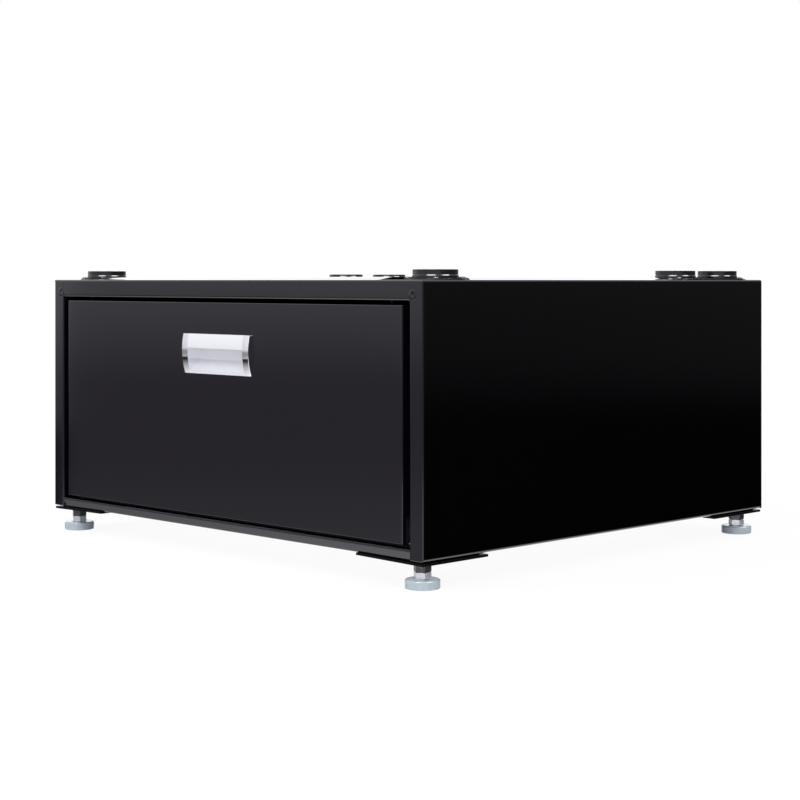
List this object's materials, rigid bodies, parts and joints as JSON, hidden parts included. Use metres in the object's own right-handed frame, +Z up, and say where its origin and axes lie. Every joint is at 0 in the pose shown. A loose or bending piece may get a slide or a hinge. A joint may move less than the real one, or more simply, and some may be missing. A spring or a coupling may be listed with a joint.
{
  "type": "washer pedestal drawer",
  "caption": "Low black sheet-metal pedestal with one full-width drawer on telescopic slides, a recessed pull, levelling feet and cups for a machine's feet.",
  "frame": {"origin": "on the floor, under the middle of the cabinet", "axes": "+X to the right of someone facing the drawer, -Y out of the drawer front, +Z up"},
  "size_m": [0.6, 0.5615, 0.3],
  "materials": {
    "gloss_black_paint": "gloss",
    "drawer_gloss": "high gloss",
    "black_paint": "semi-gloss",
    "black_plastic": "moulded, fine grain",
    "black_oxide": "blackened",
    "zinc": "bright zinc plate",
    "satin_metal": "satin",
    "polished_metal": "polished",
    "grey_plastic": "moulded"
  },
  "bodies": {
    "cabinet": {"top_panel": "gloss_black_paint", "side_panel_left": "gloss_black_paint", "side_panel_right": "gloss_black_paint", "back_panel": "gloss_black_paint", "front_stile_left": "gloss_black_paint", "front_stile_right": "gloss_black_paint", "top_rail": "gloss_black_paint", "bottom_rail": "gloss_black_paint", "top_brace_left": "black_paint", "top_brace_right": "black_paint", "gusset_front_left": "black_paint", "gusset_front_right": "black_paint", "gusset_rear_left": "black_paint", "gusset_rear_right": "black_paint", "foot_collars": "black_paint", "lock_nuts": "black_oxide", "slide_channel_left": "black_paint", "slide_channel_right": "black_paint", "slide_outer_left": "zinc", "slide_outer_right": "zinc", "cup_plate_front_left": "black_plastic", "cup_plate_front_right": "black_plastic", "cup_plate_rear_left": "black_plastic", "cup_plate_rear_right": "black_plastic", "cup_front_left": "black_plastic", "cup_front_right": "black_plastic", "cup_middle_left": "black_plastic", "cup_middle_right": "black_plastic", "cup_rear_left": "black_plastic", "cup_rear_right": "black_plastic", "cup_screws": "black_oxide", "back_screws": "zinc", "channel_screws": "zinc"},
    "drawer": {"slide_inner_left": "zinc", "slide_inner_right": "zinc", "drawer_side_left": "zinc", "drawer_side_right": "zinc", "drawer_back": "zinc", "drawer_bottom": "zinc", "drawer_front": "drawer_gloss", "front_liner": "black_paint", "drawer_screws": "zinc", "handle_body": "satin_metal", "handle_cap_left": "polished_metal", "handle_cap_right": "polished_metal"},
    "slide_middle_left": {"slide_middle_left": "zinc"},
    "ball_cage_outer_left": {"ball_cage_outer_left": "polished_metal"},
    "ball_cage_inner_left": {"ball_cage_inner_left": "polished_metal"},
    "slide_middle_right": {"slide_middle_right": "zinc"},
    "ball_cage_outer_right": {"ball_cage_outer_right": "polished_metal"},
    "ball_cage_inner_right": {"ball_cage_inner_right": "polished_metal"},
    "foot_pad_front_left": {"foot_pad_front_left": "grey_plastic"},
    "foot_stud_front_left": {"foot_stud_front_left": "zinc"},
    "foot_pad_front_right": {"foot_pad_front_right": "grey_plastic"},
    "foot_stud_front_right": {"foot_stud_front_right": "zinc"},
    "foot_pad_rear_left": {"foot_pad_rear_left": "grey_plastic"},
    "foot_stud_rear_left": {"foot_stud_rear_left": "zinc"},
    "foot_pad_rear_right": {"foot_pad_rear_right": "grey_plastic"},
    "foot_stud_rear_right": {"foot_stud_rear_right": "zinc"}
  },
  "joints": [
    {"name": "drawer_slide", "type": "slide", "parent": "cabinet", "child": "drawer", "axis": [0, -1, 0], "range_m": [0, 0.45]},
    {"name": "slide_middle_left_slide", "type": "slide", "parent": "cabinet", "child": "slide_middle_left", "axis": [0, -1, 0], "range_m": [0, 0.225]},
    {"name": "ball_cage_outer_left_slide", "type": "slide", "parent": "cabinet", "child": "ball_cage_outer_left", "axis": [0, -1, 0], "range_m": [0, 0.1125]},
    {"name": "ball_cage_inner_left_slide", "type": "slide", "parent": "cabinet", "child": "ball_cage_inner_left", "axis": [0, -1, 0], "range_m": [0, 0.3375]},
    {"name": "slide_middle_right_slide", "type": "slide", "parent": "cabinet", "child": "slide_middle_right", "axis": [0, -1, 0], "range_m": [0, 0.225]},
    {"name": "ball_cage_outer_right_slide", "type": "slide", "parent": "cabinet", "child": "ball_cage_outer_right", "axis": [0, -1, 0], "range_m": [0, 0.1125]},
    {"name": "ball_cage_inner_right_slide", "type": "slide", "parent": "cabinet", "child": "ball_cage_inner_right", "axis": [0, -1, 0], "range_m": [0, 0.3375]},
    {"name": "foot_height_front_left", "type": "slide", "parent": "cabinet", "child": "foot_pad_front_left", "axis": [0, 0, -1], "range_m": [0, 0.012]},
    {"name": "foot_turn_front_left", "type": "hinge", "parent": "foot_pad_front_left", "child": "foot_stud_front_left", "pos_m": [-0.2795, -0.2575, 0], "axis": [0, 0, -1], "range_deg": [0, 2880]},
    {"name": "foot_height_front_right", "type": "slide", "parent": "cabinet", "child": "foot_pad_front_right", "axis": [0, 0, -1], "range_m": [0, 0.012]},
    {"name": "foot_turn_front_right", "type": "hinge", "parent": "foot_pad_front_right", "child": "foot_stud_front_right", "pos_m": [0.2795, -0.2575, 0], "axis": [0, 0, -1], "range_deg": [0, 2880]},
    {"name": "foot_height_rear_left", "type": "slide", "parent": "cabinet", "child": "foot_pad_rear_left", "axis": [0, 0, -1], "range_m": [0, 0.012]},
    {"name": "foot_turn_rear_left", "type": "hinge", "parent": "foot_pad_rear_left", "child": "foot_stud_rear_left", "pos_m": [-0.2795, 0.2575, 0], "axis": [0, 0, -1], "range_deg": [0, 2880]},
    {"name": "foot_height_rear_right", "type": "slide", "parent": "cabinet", "child": "foot_pad_rear_right", "axis": [0, 0, -1], "range_m": [0, 0.012]},
    {"name": "foot_turn_rear_right", "type": "hinge", "parent": "foot_pad_rear_right", "child": "foot_stud_rear_right", "pos_m": [0.2795, 0.2575, 0], "axis": [0, 0, -1], "range_deg": [0, 2880]}
  ],
  "couplings": [
    {"joint": "slide_middle_left_slide", "follows": "drawer_slide", "ratio": 0.5},
    {"joint": "ball_cage_outer_left_slide", "follows": "drawer_slide", "ratio": 0.25},
    {"joint": "ball_cage_inner_left_slide", "follows": "drawer_slide", "ratio": 0.75},
    {"joint": "slide_middle_right_slide", "follows": "drawer_slide", "ratio": 0.5},
    {"joint": "ball_cage_outer_right_slide", "follows": "drawer_slide", "ratio": 0.25},
    {"joint": "ball_cage_inner_right_slide", "follows": "drawer_slide", "ratio": 0.75},
    {"joint": "foot_turn_front_left", "follows": "foot_height_front_left", "rad_per_m": 4188.8},
    {"joint": "foot_turn_front_right", "follows": "foot_height_front_right", "rad_per_m": 4188.8},
    {"joint": "foot_turn_rear_left", "follows": "foot_height_rear_left", "rad_per_m": 4188.8},
    {"joint": "foot_turn_rear_right", "follows": "foot_height_rear_right", "rad_per_m": 4188.8}
  ]
}
